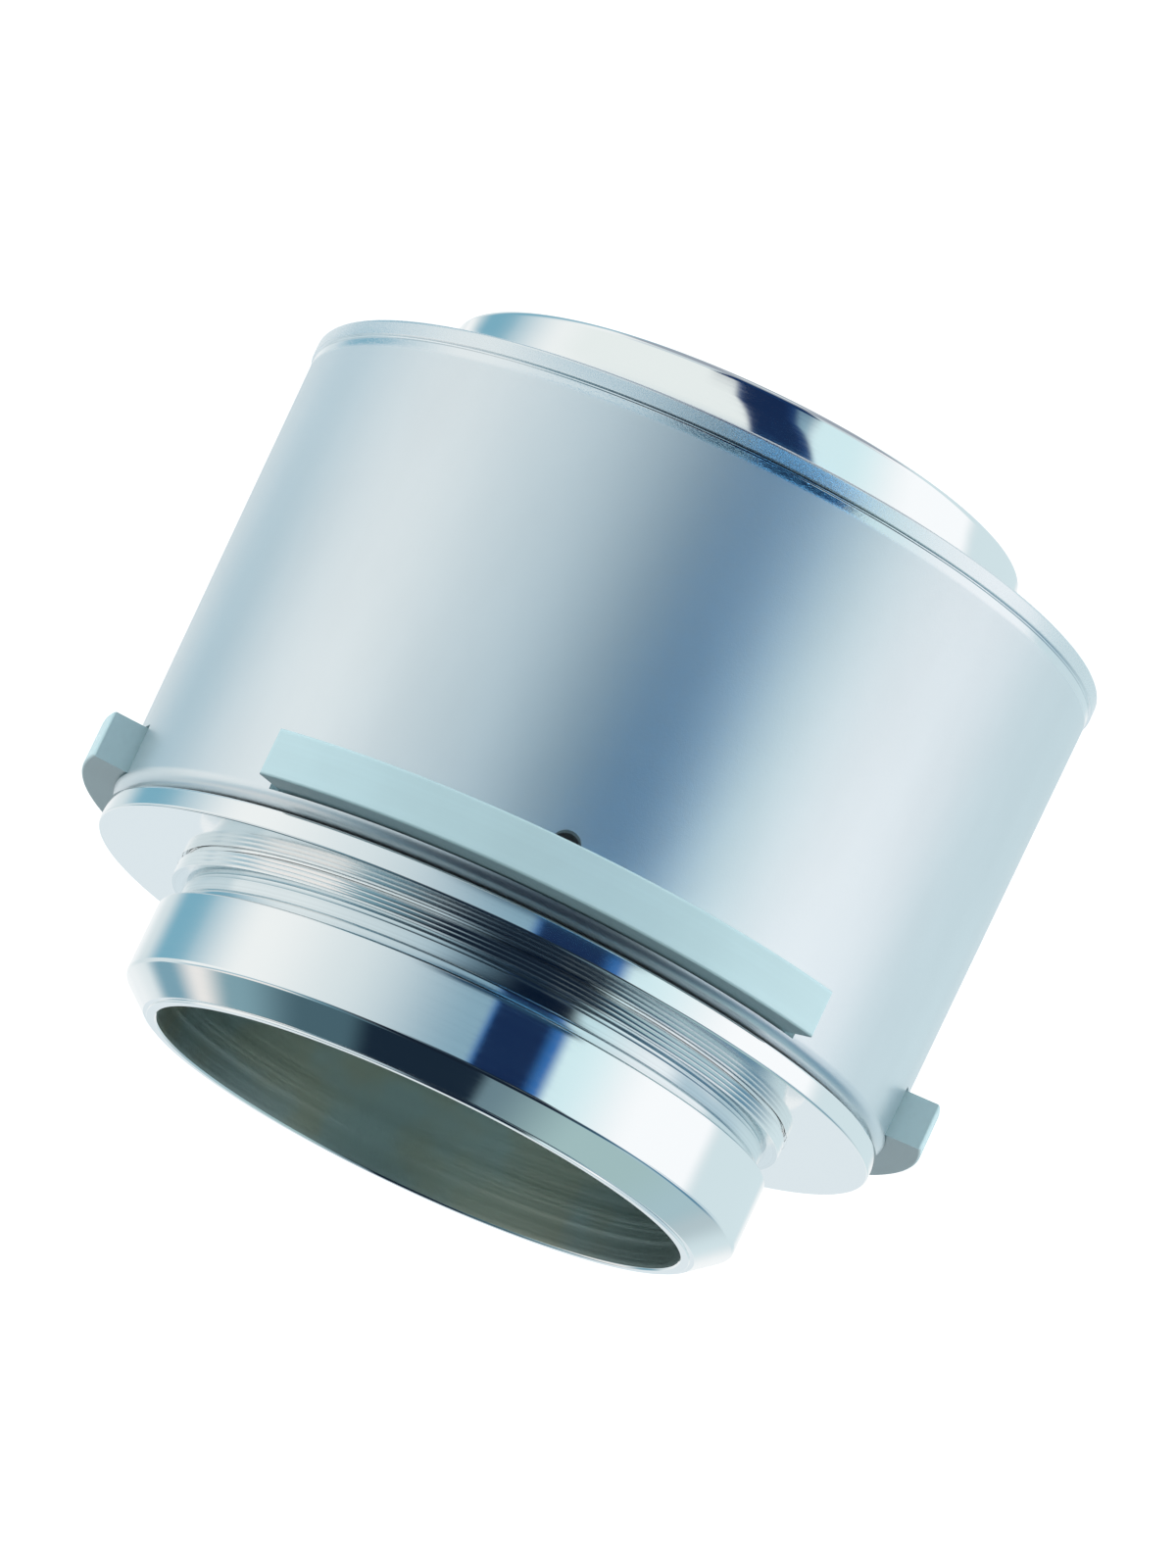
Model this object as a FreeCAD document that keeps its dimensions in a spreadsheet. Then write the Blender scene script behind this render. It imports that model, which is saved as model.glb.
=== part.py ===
import FreeCAD, Part
import os
import Sketcher

# Press fitting adapter for composite pipe of 110 mm, in millimetres.
# The Z axis is the flow axis. The nose end of the body lies at height 0 and the spigot mouth points up.

DIMENSIONS = [
    # pipe
    ("pipe_outer_radius", 55.0, "outside of the pipe that is pushed over the nozzle"),
    ("pipe_wall", 10.0, "wall of that pipe"),
    ("socket_depth", 62.2, "how far the pipe goes into the sleeve"),
    # nose and nozzle
    ("nose_projection", 11.0, "how far the nose stands out of the sleeve"),
    ("nose_drop", 0.6, "how much thinner the plain nose is than the nozzle"),
    ("nose_lead_length", 7.0, "tapered lead at the end of the nose"),
    ("nose_lead_drop", 0.9, "loss of radius over the lead"),
    ("nose_edge_round", 1.3, "rounding of the nose's outer edge"),
    ("nose_blend_round", 60.0, "rounding between the lead and the plain nose"),
    ("nozzle_inset", 4.5, "from the sleeve's rim to the start of the nozzle's cone"),
    ("nozzle_lead_length", 3.0, "cone between the nose and the nozzle"),
    ("nozzle_clearance", 0.3, "between the nozzle and the pipe's bore"),
    ("hub_rise", 1.8, "how much thicker the hub is than the nozzle"),
    ("hub_inset", 0.4, "from the pipe's end to the start of the hub's cone"),
    # seals and grip grooves on the nozzle
    ("seal_cord", 4.0, "thickness of a seal ring's cord"),
    ("seal_groove_depth", 3.2, "depth of a seal groove"),
    ("seal_groove_width", 5.0, "width of a seal groove"),
    ("groove_floor_wall", 1.7, "wall left between a seal groove's floor and the flow bore"),
    ("seal_seat_gap", 0.05, "between a seal ring and the groove's floor"),
    ("seal_inset", 19.3, "from the sleeve's rim to the outer seal's middle"),
    ("seal_pitch", 16.0, "between the middles of the two seals"),
    ("grip_groove_depth", 0.5, "depth of a grip groove"),
    ("grip_groove_width", 1.6, "width of a grip groove"),
    ("grip_groove_inset", 16.0, "from the pipe's end to the middle of the first grip groove"),
    ("grip_groove_pitch", 3.2, "between two grip grooves"),
    # flange
    ("flange_inset", 0.15, "how far the flange stays inside the sleeve's outside"),
    ("flange_thickness", 3.05, "thickness of the flange"),
    ("flange_edge_round", 0.35, "rounding of the flange's two edges"),
    # spigot
    ("spigot_wall", 6.4, "from the flow bore to the spigot's wide plain land"),
    ("land_length", 10.45, "length of that land"),
    ("root_relief_width", 0.35, "relief where the spigot meets the flange"),
    ("root_relief_depth", 0.6, "depth of that relief"),
    ("root_undercut", 0.15, "how deep that relief goes into the flange"),
    ("root_undercut_margin", 0.2, "how much wider than the land that undercut is"),
    ("serration_band_width", 2.25, "band with fine grooves beside the flange"),
    ("serration_depth", 0.4, "depth of one fine groove"),
    ("serration_width", 0.5, "width of one fine groove at the surface"),
    ("serration_pitch", 0.65, "between two fine grooves"),
    ("neck_depth", 2.0, "how much lower than the wide land the neck's narrow land is"),
    ("neck_length", 4.2, "from the serrated band to the wide land"),
    ("neck_relief_depth", 0.7, "depth of the two reliefs beside the narrow land"),
    ("upper_relief_width", 1.65, "relief beside the wide land"),
    ("lower_relief_width", 0.75, "relief beside the serrated band"),
    ("land_shoulder_slope", 0.35, "height of the sloped shoulder below the wide land"),
    ("cone_length", 3.6, "height of the cone at the mouth"),
    ("cone_drop", 4.3, "loss of radius over the cone"),
    ("land_edge_round", 0.8, "rounding between the wide land and the cone"),
    ("lip_step", 0.5, "step between the cone and the lip"),
    ("lip_height", 0.35, "height of the lip"),
    ("mouth_bevel", 0.25, "bevel where the flow bore meets the mouth"),
    # sleeve
    ("socket_clearance", 1.8, "between the pipe and the sleeve"),
    ("sleeve_wall", 2.0, "wall of the sleeve"),
    ("sleeve_flare", 0.9, "gain of radius from the foot to the rim"),
    ("collar_height", 2.4, "height of the collar at the rim"),
    ("collar_rise", 0.3, "how far the collar stands out of the sleeve"),
    ("rim_round", 0.5, "rounding of the rim's edges"),
    ("foot_bend_radius", 0.6, "inside radius of the bend at the foot"),
    ("notch_radius", 2.05, "inspection notch"),
    ("notch_offset", 0.3, "from the pipe's end to the notch's centre, towards the rim"),
    # stop ring
    ("ring_height", 7.0, "height of the ring"),
    ("bead_depth", 1.2, "how far the ring's bead stands into the hub's groove"),
    ("bead_width", 2.0, "width of the bead at its root"),
    ("bead_slope", 0.4, "height of each sloped flank of the bead"),
    ("lug_projection", 5.2, "how far a lug stands out of the sleeve"),
    ("lug_height", 6.9, "height of a lug"),
    ("lug_half_angle", 40.0, "half of the angle that a lug spans, in degrees"),
    ("lug_root", 3.0, "how deep a lug is rooted in the ring"),
    ("lug_edge_round", 0.4, "rounding of a lug's outer edges"),
    ("window_gap", 0.3, "round a lug in its window, above and below"),
    ("window_side_angle", 1.5, "more half angle in a window than in its lug, in degrees"),
    # fits
    ("running_gap", 0.35, "between the body and what turns on it"),
    ("seat_gap", 0.3, "between the ring and the sleeve"),
    ("cut_overshoot", 3.0, "how far a cut reaches beyond the wall that it cuts"),
]

LUG_COUNT = 3
SERRATION_COUNT = 3
GRIP_GROOVE_COUNT = 4
NOZZLE_SEAL_COUNT = 2

document = FreeCAD.newDocument("press_fitting_adapter")
sheet = document.addObject("Spreadsheet::Sheet", "sizes")
for row, (alias, value, meaning) in enumerate(DIMENSIONS, start=1):
    sheet.set(f"A{row}", alias)
    sheet.set(f"B{row}", str(value))
    sheet.set(f"C{row}", meaning)
    sheet.setAlias(f"B{row}", alias)
document.recompute()

# Heights above the nose end, in the order in which the pieces follow each other
RIM = "sizes.nose_projection"
PIPE_END = f"({RIM} + sizes.socket_depth)"
RING_TOP = f"({PIPE_END} + sizes.ring_height)"
LIP_FACE = f"({RING_TOP} + sizes.seat_gap)"
FOOT = f"({LIP_FACE} + sizes.sleeve_wall)"
FLANGE_FOOT = f"({FOOT} + sizes.running_gap)"
SHOULDER = f"({FLANGE_FOOT} + sizes.flange_thickness)"
BAND_START = f"({SHOULDER} + sizes.root_relief_width)"
NECK_START = f"({BAND_START} + sizes.serration_band_width)"
LAND_START = f"({NECK_START} + sizes.neck_length)"
CONE_START = f"({LAND_START} + sizes.land_length)"
LIP_START = f"({CONE_START} + sizes.cone_length)"
MOUTH = f"({LIP_START} + sizes.lip_height)"

# Radii that follow from the pipe
NOZZLE = "(sizes.pipe_outer_radius - sizes.pipe_wall - sizes.nozzle_clearance)"
NOSE = f"({NOZZLE} - sizes.nose_drop)"
SEAL_FLOOR = f"({NOZZLE} - sizes.seal_groove_depth)"
BORE = f"({SEAL_FLOOR} - sizes.groove_floor_wall)"
LAND = f"({BORE} + sizes.spigot_wall)"
HUB = f"({NOZZLE} + sizes.hub_rise)"
RING_BORE = f"({HUB} + sizes.running_gap)"
SLEEVE_BORE = "(sizes.pipe_outer_radius + sizes.socket_clearance)"
SLEEVE = f"({SLEEVE_BORE} + sizes.sleeve_wall)"
FLANGE = f"({SLEEVE} - sizes.flange_inset)"
RING = f"({SLEEVE_BORE} - sizes.seat_gap)"
LUG = f"({SLEEVE} + sizes.lug_projection)"
BEAD_MIDDLE = f"({PIPE_END} + {RING_TOP}) / 2"


def number(expression):
    """The value of an expression on the sheet."""
    found = sheet.evalExpression(expression)
    return float(getattr(found, "Value", found))


def plane(body, role):
    """One of a body's own origin planes or axes."""
    return next(item for item in body.Origin.OriginFeatures if item.Role == role)


def new_body(name):
    """An empty body whose label names its file."""
    body = document.addObject("PartDesign::Body", name)
    body.Label = name
    return body


def new_sketch(body, name, role="XZ_Plane"):
    """An empty sketch on one of the body's origin planes."""
    sketch = body.newObject("Sketcher::SketchObject", name)
    sketch.AttachmentSupport = [(plane(body, role), "")]
    sketch.MapMode = "FlatFace"
    return sketch


def bind(sketch, constraint, name, expression):
    """Adds a named constraint and ties it to an expression."""
    index = sketch.addConstraint(constraint)
    sketch.renameConstraint(index, name)
    sketch.setExpression(f"Constraints.{name}", expression)


def polygon(sketch, corners):
    """A closed outline whose corners are pairs of expressions, across and up from the origin."""
    points = [FreeCAD.Vector(number(across), number(up), 0) for across, up in corners]
    edges = [Part.LineSegment(start, end) for start, end in zip(points, points[1:] + points[:1])]
    sketch.addGeometry(edges, False)
    for index in range(len(points)):
        following = (index + 1) % len(points)
        sketch.addConstraint(Sketcher.Constraint("Coincident", index, 2, following, 1))
    for index, (across, up) in enumerate(corners):
        point = points[index]
        bind(sketch, Sketcher.Constraint("DistanceX", -1, 1, index, 1, point.x), f"across_{index}", across)
        bind(sketch, Sketcher.Constraint("DistanceY", -1, 1, index, 1, point.y), f"up_{index}", up)
    return sketch


def turned(body, kind, name, sketch, angle="360"):
    """A revolution or groove about the flow axis, centred on its sketch plane."""
    feature = body.newObject(f"PartDesign::{kind}", name)
    feature.Profile = sketch
    feature.ReferenceAxis = (sketch, ["V_Axis"])
    feature.Midplane = number(angle) < 360
    feature.setExpression("Angle", angle)
    sketch.Visibility = False
    body.Tip = feature
    document.recompute()
    return feature


def stacked(body, name, feature, count, pitch):
    """Copies of a groove along the flow axis."""
    pattern = body.newObject("PartDesign::LinearPattern", name)
    pattern.Originals = [feature]
    pattern.Direction = (plane(body, "Z_Axis"), [""])
    pattern.Mode = "Spacing"
    pattern.Occurrences = count
    pattern.setExpression("Offset", pitch)
    body.Tip = pattern
    document.recompute()
    return pattern


def around(body, name, feature, count):
    """Copies of a feature round the flow axis."""
    pattern = body.newObject("PartDesign::PolarPattern", name)
    pattern.Originals = [feature]
    pattern.Axis = (plane(body, "Z_Axis"), [""])
    pattern.Angle = 360
    pattern.Occurrences = count
    body.Tip = pattern
    document.recompute()
    return pattern


def circles_at(feature, places):
    """Names of the round edges of a feature that have these radii and heights."""
    wanted = [(number(radius), number(height)) for radius, height in places]
    names = []
    for index, edge in enumerate(feature.Shape.Edges, start=1):
        curve = edge.Curve
        if not isinstance(curve, Part.Circle):
            continue
        for radius, height in wanted:
            if abs(curve.Radius - radius) < 1e-4 and abs(curve.Center.z - height) < 1e-4:
                names.append(f"Edge{index}")
    return names


def outer_edges(feature, radius, low, high):
    """Names of the edges that lie wholly at one distance from the axis, between two heights."""
    reach = number(radius)
    bottom = number(low) - 1e-4
    top = number(high) + 1e-4
    names = []
    for index, edge in enumerate(feature.Shape.Edges, start=1):
        ends = [vertex.Point for vertex in edge.Vertexes]
        if all(abs((p.x**2 + p.y**2) ** 0.5 - reach) < 1e-3 and bottom < p.z < top for p in ends):
            names.append(f"Edge{index}")
    return names


def rounded(body, name, feature, edges, radius):
    """A fillet on the named edges."""
    fillet = body.newObject("PartDesign::Fillet", name)
    fillet.Base = (feature, edges)
    fillet.setExpression("Radius", radius)
    body.Tip = fillet
    document.recompute()
    return fillet


def removed(body, before, what):
    """Stops the script if a cut took nothing away."""
    if body.Shape.Volume > before - 1e-3:
        raise RuntimeError(f"{what} removed nothing")
    return body.Shape.Volume


# Turned body: nose, nozzle, hub, flange and spigot in one profile
adapter = new_body("adapter_body")
lead_radius = f"({NOSE} - sizes.nose_lead_drop)"
cone_height = f"({RIM} + sizes.nozzle_inset)"
nozzle_height = f"({cone_height} + sizes.nozzle_lead_length)"
hub_cone_height = f"({PIPE_END} + sizes.hub_inset)"
hub_height = f"({hub_cone_height} + sizes.hub_rise)"
cone_radius = f"({LAND} - sizes.cone_drop)"
lip_radius = f"({cone_radius} - sizes.lip_step)"
root_radius = f"({LAND} - sizes.root_relief_depth)"
undercut_radius = f"({LAND} + sizes.root_undercut_margin)"
undercut_floor = f"({SHOULDER} - sizes.root_undercut)"
profile = polygon(
    new_sketch(adapter, "body_profile"),
    [
        (BORE, "0"),
        (lead_radius, "0"),
        (NOSE, "sizes.nose_lead_length"),
        (NOSE, cone_height),
        (NOZZLE, nozzle_height),
        (NOZZLE, hub_cone_height),
        (HUB, hub_height),
        (HUB, FLANGE_FOOT),
        (FLANGE, FLANGE_FOOT),
        (FLANGE, SHOULDER),
        (undercut_radius, SHOULDER),
        (undercut_radius, undercut_floor),
        (root_radius, undercut_floor),
        (root_radius, BAND_START),
        (LAND, BAND_START),
        (LAND, CONE_START),
        (cone_radius, LIP_START),
        (lip_radius, LIP_START),
        (lip_radius, MOUTH),
        (f"{BORE} + sizes.mouth_bevel", MOUTH),
        (BORE, f"{MOUTH} - sizes.mouth_bevel"),
    ],
)
blank = turned(adapter, "Revolution", "body_blank", profile)
volume = adapter.Shape.Volume

# Neck of the spigot: a narrow land between two reliefs
neck_radius = f"({LAND} - sizes.neck_depth)"
relief_radius = f"({neck_radius} - sizes.neck_relief_depth)"
lower_relief_end = f"({NECK_START} + sizes.lower_relief_width)"
upper_relief_start = f"({LAND_START} - sizes.upper_relief_width)"
neck_outside = f"({LAND} + sizes.cut_overshoot)"
neck = polygon(
    new_sketch(adapter, "neck_profile"),
    [
        (neck_outside, NECK_START),
        (relief_radius, NECK_START),
        (relief_radius, lower_relief_end),
        (neck_radius, lower_relief_end),
        (neck_radius, upper_relief_start),
        (relief_radius, upper_relief_start),
        (relief_radius, f"{LAND_START} - sizes.land_shoulder_slope"),
        (LAND, LAND_START),
        (neck_outside, LAND_START),
    ],
)
turned(adapter, "Groove", "neck", neck)
volume = removed(adapter, volume, "neck")

# Fine grooves round the band beside the flange
serration_span = f"({SERRATION_COUNT} - 1) * sizes.serration_pitch"
serration_middle = f"({BAND_START} + (sizes.serration_band_width - {serration_span}) / 2)"
serration_top = f"({serration_middle} + sizes.serration_width / 2)"
serration_bottom = f"({serration_middle} - sizes.serration_width / 2)"
serration_sketch = polygon(
    new_sketch(adapter, "serration_profile"),
    [
        (f"{LAND} - sizes.serration_depth", serration_middle),
        (LAND, serration_top),
        (f"{LAND} + sizes.serration_depth", serration_top),
        (f"{LAND} + sizes.serration_depth", serration_bottom),
        (LAND, serration_bottom),
    ],
)
serration = turned(adapter, "Groove", "serration", serration_sketch)
stacked(adapter, "serrations", serration, SERRATION_COUNT, "sizes.serration_pitch")
volume = removed(adapter, volume, "serrations")


def square_groove(body, name, middle, width, floor):
    """A square groove into the nozzle or hub, down to a floor radius."""
    outside = f"({HUB} + sizes.cut_overshoot)"
    sketch = polygon(
        new_sketch(body, f"{name}_profile"),
        [
            (floor, f"{middle} - {width} / 2"),
            (outside, f"{middle} - {width} / 2"),
            (outside, f"{middle} + {width} / 2"),
            (floor, f"{middle} + {width} / 2"),
        ],
    )
    return turned(body, "Groove", name, sketch)


# Seal grooves, grip grooves and the hub's groove for the stop ring's bead
seal_height = f"({RIM} + sizes.seal_inset)"
seal_groove = square_groove(adapter, "seal_groove", seal_height, "sizes.seal_groove_width", SEAL_FLOOR)
stacked(adapter, "seal_grooves", seal_groove, NOZZLE_SEAL_COUNT, "sizes.seal_pitch")
volume = removed(adapter, volume, "seal grooves")

grip_middle = f"({PIPE_END} - sizes.grip_groove_inset)"
grip_floor = f"({NOZZLE} - sizes.grip_groove_depth)"
grip_groove = square_groove(adapter, "grip_groove", grip_middle, "sizes.grip_groove_width", grip_floor)
stacked(adapter, "grip_grooves", grip_groove, GRIP_GROOVE_COUNT, "sizes.grip_groove_pitch")
volume = removed(adapter, volume, "grip grooves")

bead_groove_width = "(sizes.bead_width + 2 * sizes.running_gap)"
bead_groove_floor = f"({HUB} - sizes.bead_depth)"
bead_groove = square_groove(adapter, "bead_groove", BEAD_MIDDLE, bead_groove_width, bead_groove_floor)
volume = removed(adapter, volume, "bead groove")

# Rounded edges of the nose, the flange and the land
nose_blend = circles_at(bead_groove, [(NOSE, "sizes.nose_lead_length")])
blended = rounded(adapter, "nose_blend", bead_groove, nose_blend, "sizes.nose_blend_round")
nose_edge = circles_at(blended, [(lead_radius, "0")])
nose = rounded(adapter, "nose_edge", blended, nose_edge, "sizes.nose_edge_round")
flange_edges = circles_at(nose, [(FLANGE, FLANGE_FOOT), (FLANGE, SHOULDER)])
flange = rounded(adapter, "flange_edges", nose, flange_edges, "sizes.flange_edge_round")
land_edge = circles_at(flange, [(LAND, CONE_START)])
rounded(adapter, "land_edge", flange, land_edge, "sizes.land_edge_round")

# Seal rings in the nozzle's grooves
seal_radius = f"({SEAL_FLOOR} + sizes.seal_seat_gap + sizes.seal_cord / 2)"
seals = []
for index, name in enumerate(["outer_seal_ring", "inner_seal_ring"]):
    seal = document.addObject("Part::Torus", name)
    seal.Label = name
    seal.setExpression("Radius1", seal_radius)
    seal.setExpression("Radius2", "sizes.seal_cord / 2")
    seal.setExpression("Placement.Base.z", f"{seal_height} + {index} * sizes.seal_pitch")
    seals.append(seal)

# Press sleeve: slightly flared wall with a collar at the rim and a foot bent inwards under the stop ring
sleeve = new_body("press_sleeve")
collar_end = f"({RIM} + sizes.collar_height)"
collar_radius = f"({SLEEVE} + sizes.sleeve_flare + sizes.collar_rise)"
collar_share = f"(sizes.collar_height / ({FOOT} - {RIM}))"
wall_at_collar = f"({SLEEVE} + sizes.sleeve_flare * (1 - {collar_share}))"
sleeve_sketch = polygon(
    new_sketch(sleeve, "sleeve_profile"),
    [
        (f"{SLEEVE_BORE} + sizes.sleeve_flare", RIM),
        (collar_radius, RIM),
        (collar_radius, collar_end),
        (wall_at_collar, collar_end),
        (SLEEVE, FOOT),
        (RING_BORE, FOOT),
        (RING_BORE, LIP_FACE),
        (SLEEVE_BORE, LIP_FACE),
    ],
)
sleeve_blank = turned(sleeve, "Revolution", "sleeve_blank", sleeve_sketch)
foot_inside = circles_at(sleeve_blank, [(SLEEVE_BORE, LIP_FACE)])
inside_bend = rounded(sleeve, "foot_inside_bend", sleeve_blank, foot_inside, "sizes.foot_bend_radius")
foot_outside = circles_at(inside_bend, [(SLEEVE, FOOT)])
bend = rounded(
    sleeve, "foot_outside_bend", inside_bend, foot_outside, "sizes.foot_bend_radius + sizes.sleeve_wall"
)
rim_edges = circles_at(bend, [(f"{SLEEVE_BORE} + sizes.sleeve_flare", RIM), (collar_radius, RIM)])
rim = rounded(sleeve, "rim_edges", bend, rim_edges, "sizes.rim_round")
volume = sleeve.Shape.Volume

# Three windows for the lugs, the first one facing the front
window_low = f"({PIPE_END} - sizes.window_gap)"
window_high = f"({PIPE_END} + sizes.lug_height + sizes.window_gap)"
window_angle = "2 * (sizes.lug_half_angle + sizes.window_side_angle)"
window_sketch = polygon(
    new_sketch(sleeve, "window_profile", "YZ_Plane"),
    [
        (f"-({SLEEVE_BORE} - sizes.cut_overshoot)", window_low),
        (f"-({SLEEVE} + sizes.cut_overshoot)", window_low),
        (f"-({SLEEVE} + sizes.cut_overshoot)", window_high),
        (f"-({SLEEVE_BORE} - sizes.cut_overshoot)", window_high),
    ],
)
window = turned(sleeve, "Groove", "window", window_sketch, window_angle)
around(sleeve, "windows", window, LUG_COUNT)
volume = removed(sleeve, volume, "windows")

# Inspection notch in the middle of each window's edge
notch_sketch = new_sketch(sleeve, "notch_profile")
notch_height = f"({PIPE_END} - sizes.notch_offset)"
notch_centre = FreeCAD.Vector(0, number(notch_height), 0)
notch_circle = Part.Circle(notch_centre, FreeCAD.Vector(0, 0, 1), number("sizes.notch_radius"))
notch_sketch.addGeometry(notch_circle, False)
notch_sketch.addConstraint(Sketcher.Constraint("PointOnObject", 0, 3, -2))
notch_size = Sketcher.Constraint("Radius", 0, number("sizes.notch_radius"))
bind(notch_sketch, notch_size, "radius", "sizes.notch_radius")
notch_place = Sketcher.Constraint("DistanceY", -1, 1, 0, 3, notch_centre.y)
bind(notch_sketch, notch_place, "height", notch_height)
notch = sleeve.newObject("PartDesign::Pocket", "notch")
notch.Profile = notch_sketch
notch.Reversed = True
notch.setExpression("Length", f"{SLEEVE} + sizes.cut_overshoot")
notch_sketch.Visibility = False
sleeve.Tip = notch
document.recompute()
around(sleeve, "notches", notch, LUG_COUNT)
volume = removed(sleeve, volume, "notches")

# Stop ring: inner ring with a snap bead, and three lugs that stand out through the windows
ring = new_body("stop_ring")
bead_tip = f"({RING_BORE} - sizes.bead_depth)"
ring_sketch = polygon(
    new_sketch(ring, "ring_profile"),
    [
        (RING_BORE, PIPE_END),
        (RING, PIPE_END),
        (RING, RING_TOP),
        (RING_BORE, RING_TOP),
        (RING_BORE, f"{BEAD_MIDDLE} + sizes.bead_width / 2"),
        (bead_tip, f"{BEAD_MIDDLE} + sizes.bead_width / 2 - sizes.bead_slope"),
        (bead_tip, f"{BEAD_MIDDLE} - sizes.bead_width / 2 + sizes.bead_slope"),
        (RING_BORE, f"{BEAD_MIDDLE} - sizes.bead_width / 2"),
    ],
)
turned(ring, "Revolution", "ring_blank", ring_sketch)
lug_top = f"({PIPE_END} + sizes.lug_height)"
lug_sketch = polygon(
    new_sketch(ring, "lug_profile", "YZ_Plane"),
    [
        (f"-({RING} - sizes.lug_root)", PIPE_END),
        (f"-{LUG}", PIPE_END),
        (f"-{LUG}", lug_top),
        (f"-({RING} - sizes.lug_root)", lug_top),
    ],
)
lug = turned(ring, "Revolution", "lug", lug_sketch, "2 * sizes.lug_half_angle")
lugs = around(ring, "lugs", lug, LUG_COUNT)
lug_edges = outer_edges(lugs, LUG, PIPE_END, lug_top)
rounded(ring, "lug_edges", lugs, lug_edges, "sizes.lug_edge_round")

# Every object has to be sound before anything is written
pieces = [adapter, sleeve, ring, *seals]
document.recompute()
for item in document.Objects:
    if any(state in ("Invalid", "Error") for state in item.State):
        raise RuntimeError(f"{item.Name} failed: {item.State}")
os.makedirs("parts", exist_ok=True)
for piece in pieces:
    shape = piece.Shape
    if shape.isNull() or not shape.isValid() or len(shape.Solids) != 1:
        raise RuntimeError(f"{piece.Label} is not one valid solid")
    shape.exportStep(f"parts/{piece.Label}.step")
    print(f"{piece.Label}: {shape.Volume:.0f} cubic mm")
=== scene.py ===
"""Visual model of a press fitting adapter, with its finishes, studio and camera.

Lengths are written in millimetres and turned into metres where a mesh is made. The flow axis is Z, the nose
end lies at height 0 and the spigot's mouth points up. One lug of the stop ring faces -Y.
"""

import logging
import math
from collections.abc import Iterable
from dataclasses import dataclass
from enum import Enum, IntEnum
from typing import ClassVar

import bmesh
import bpy
from mathutils import Matrix, Vector


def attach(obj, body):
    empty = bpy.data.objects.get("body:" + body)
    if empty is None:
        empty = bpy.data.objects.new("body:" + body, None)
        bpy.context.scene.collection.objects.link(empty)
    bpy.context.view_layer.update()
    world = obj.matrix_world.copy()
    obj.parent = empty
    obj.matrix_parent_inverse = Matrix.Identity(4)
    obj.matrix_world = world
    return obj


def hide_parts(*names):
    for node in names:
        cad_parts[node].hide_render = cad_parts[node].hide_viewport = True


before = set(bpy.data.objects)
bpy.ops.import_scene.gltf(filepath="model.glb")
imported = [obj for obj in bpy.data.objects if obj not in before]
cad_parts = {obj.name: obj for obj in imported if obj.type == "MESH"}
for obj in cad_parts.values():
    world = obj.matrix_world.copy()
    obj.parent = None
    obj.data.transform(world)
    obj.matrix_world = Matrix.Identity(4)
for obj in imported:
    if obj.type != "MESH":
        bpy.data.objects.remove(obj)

LOG = logging.getLogger("press_fitting_adapter")

MM = 0.001
FULL_TURN = 2 * math.pi
DEGREES = 180.0 / math.pi
SMALLEST_EDGE = 1e-7
SHARP_ANGLE = math.radians(28)
SHADING_WEIGHT = 80
WALL_SLACK = 0.05
LEVEL_SLACK = 0.01
MIX_FIRST, MIX_SECOND, MIX_RESULT = 6, 7, 2
WHITE = (1.0, 1.0, 1.0, 1.0)
LUG_DIRECTIONS = (-90.0, 30.0, 150.0)

Colour = tuple[float, float, float]
Mesh = bmesh.types.BMesh
Node = bpy.types.Node
Socket = bpy.types.NodeSocket


class Slot(Enum):
    """Material slots of the part."""

    BODY = "body"
    SLEEVE = "sleeve"
    RING = "ring"
    SEAL = "seal"


class Group(Enum):
    """Rigid bodies that pieces ride on."""

    FITTING = "fitting_body"
    SLEEVE = "sleeve"


class BodyFinish(IntEnum):
    """Order of the turned body's materials."""

    PLATE = 0
    BORE = 1
    NECK = 2


# Turned profiles


@dataclass(frozen=True)
class Corner:
    """One corner of a turned profile, in millimetres.

    Args:
        radius: Distance from the flow axis.
        height: Height above the nose end.
        rounding: Radius of the round on this corner, 0 for a sharp one.
        steps: Number of facets in that round.
    """

    radius: float
    height: float
    rounding: float = 0.0
    steps: int = 4

    @property
    def point(self) -> Vector:
        """Place of the corner in the profile's plane, in metres."""
        return Vector((self.radius * MM, 0.0, self.height * MM))


def tangent_length(before: Corner, here: Corner, after: Corner) -> float:
    """Distance along each side from a corner to where its round begins, in metres."""
    opening = (before.point - here.point).angle(after.point - here.point)
    return here.rounding * MM / math.tan(opening / 2)


def round_off(mesh: Mesh, items: list, offset: float, steps: int, affect: str) -> None:
    """Puts rounds on points or edges of a mesh, which begin at an offset in metres from each."""
    bmesh.ops.bevel(
        mesh, geom=items, offset=offset, offset_type="OFFSET", segments=steps, profile=0.5,
        affect=affect, material=-1,
    )


def draw_profile(mesh: Mesh, corners: list[Corner]) -> None:
    """Draws a closed outline and rounds its corners, leaving edges only.

    Args:
        mesh: Empty mesh to draw in.
        corners: The outline's corners in order.
    """
    points = [mesh.verts.new(corner.point) for corner in corners]
    mesh.faces.new(points)
    for index, corner in enumerate(corners):
        if corner.rounding:
            following = corners[(index + 1) % len(corners)]
            offset = tangent_length(corners[index - 1], corner, following)
            round_off(mesh, [points[index]], offset, corner.steps, "VERTICES")
    bmesh.ops.delete(mesh, geom=mesh.faces[:], context="FACES_ONLY")


def cut_at_height(mesh: Mesh, height: float) -> None:
    """Cuts every edge and face of a mesh at one height, in millimetres."""
    geometry = mesh.verts[:] + mesh.edges[:] + mesh.faces[:]
    bmesh.ops.bisect_plane(
        mesh, geom=geometry, dist=SMALLEST_EDGE, plane_co=(0, 0, height * MM), plane_no=(0, 0, 1)
    )


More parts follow.
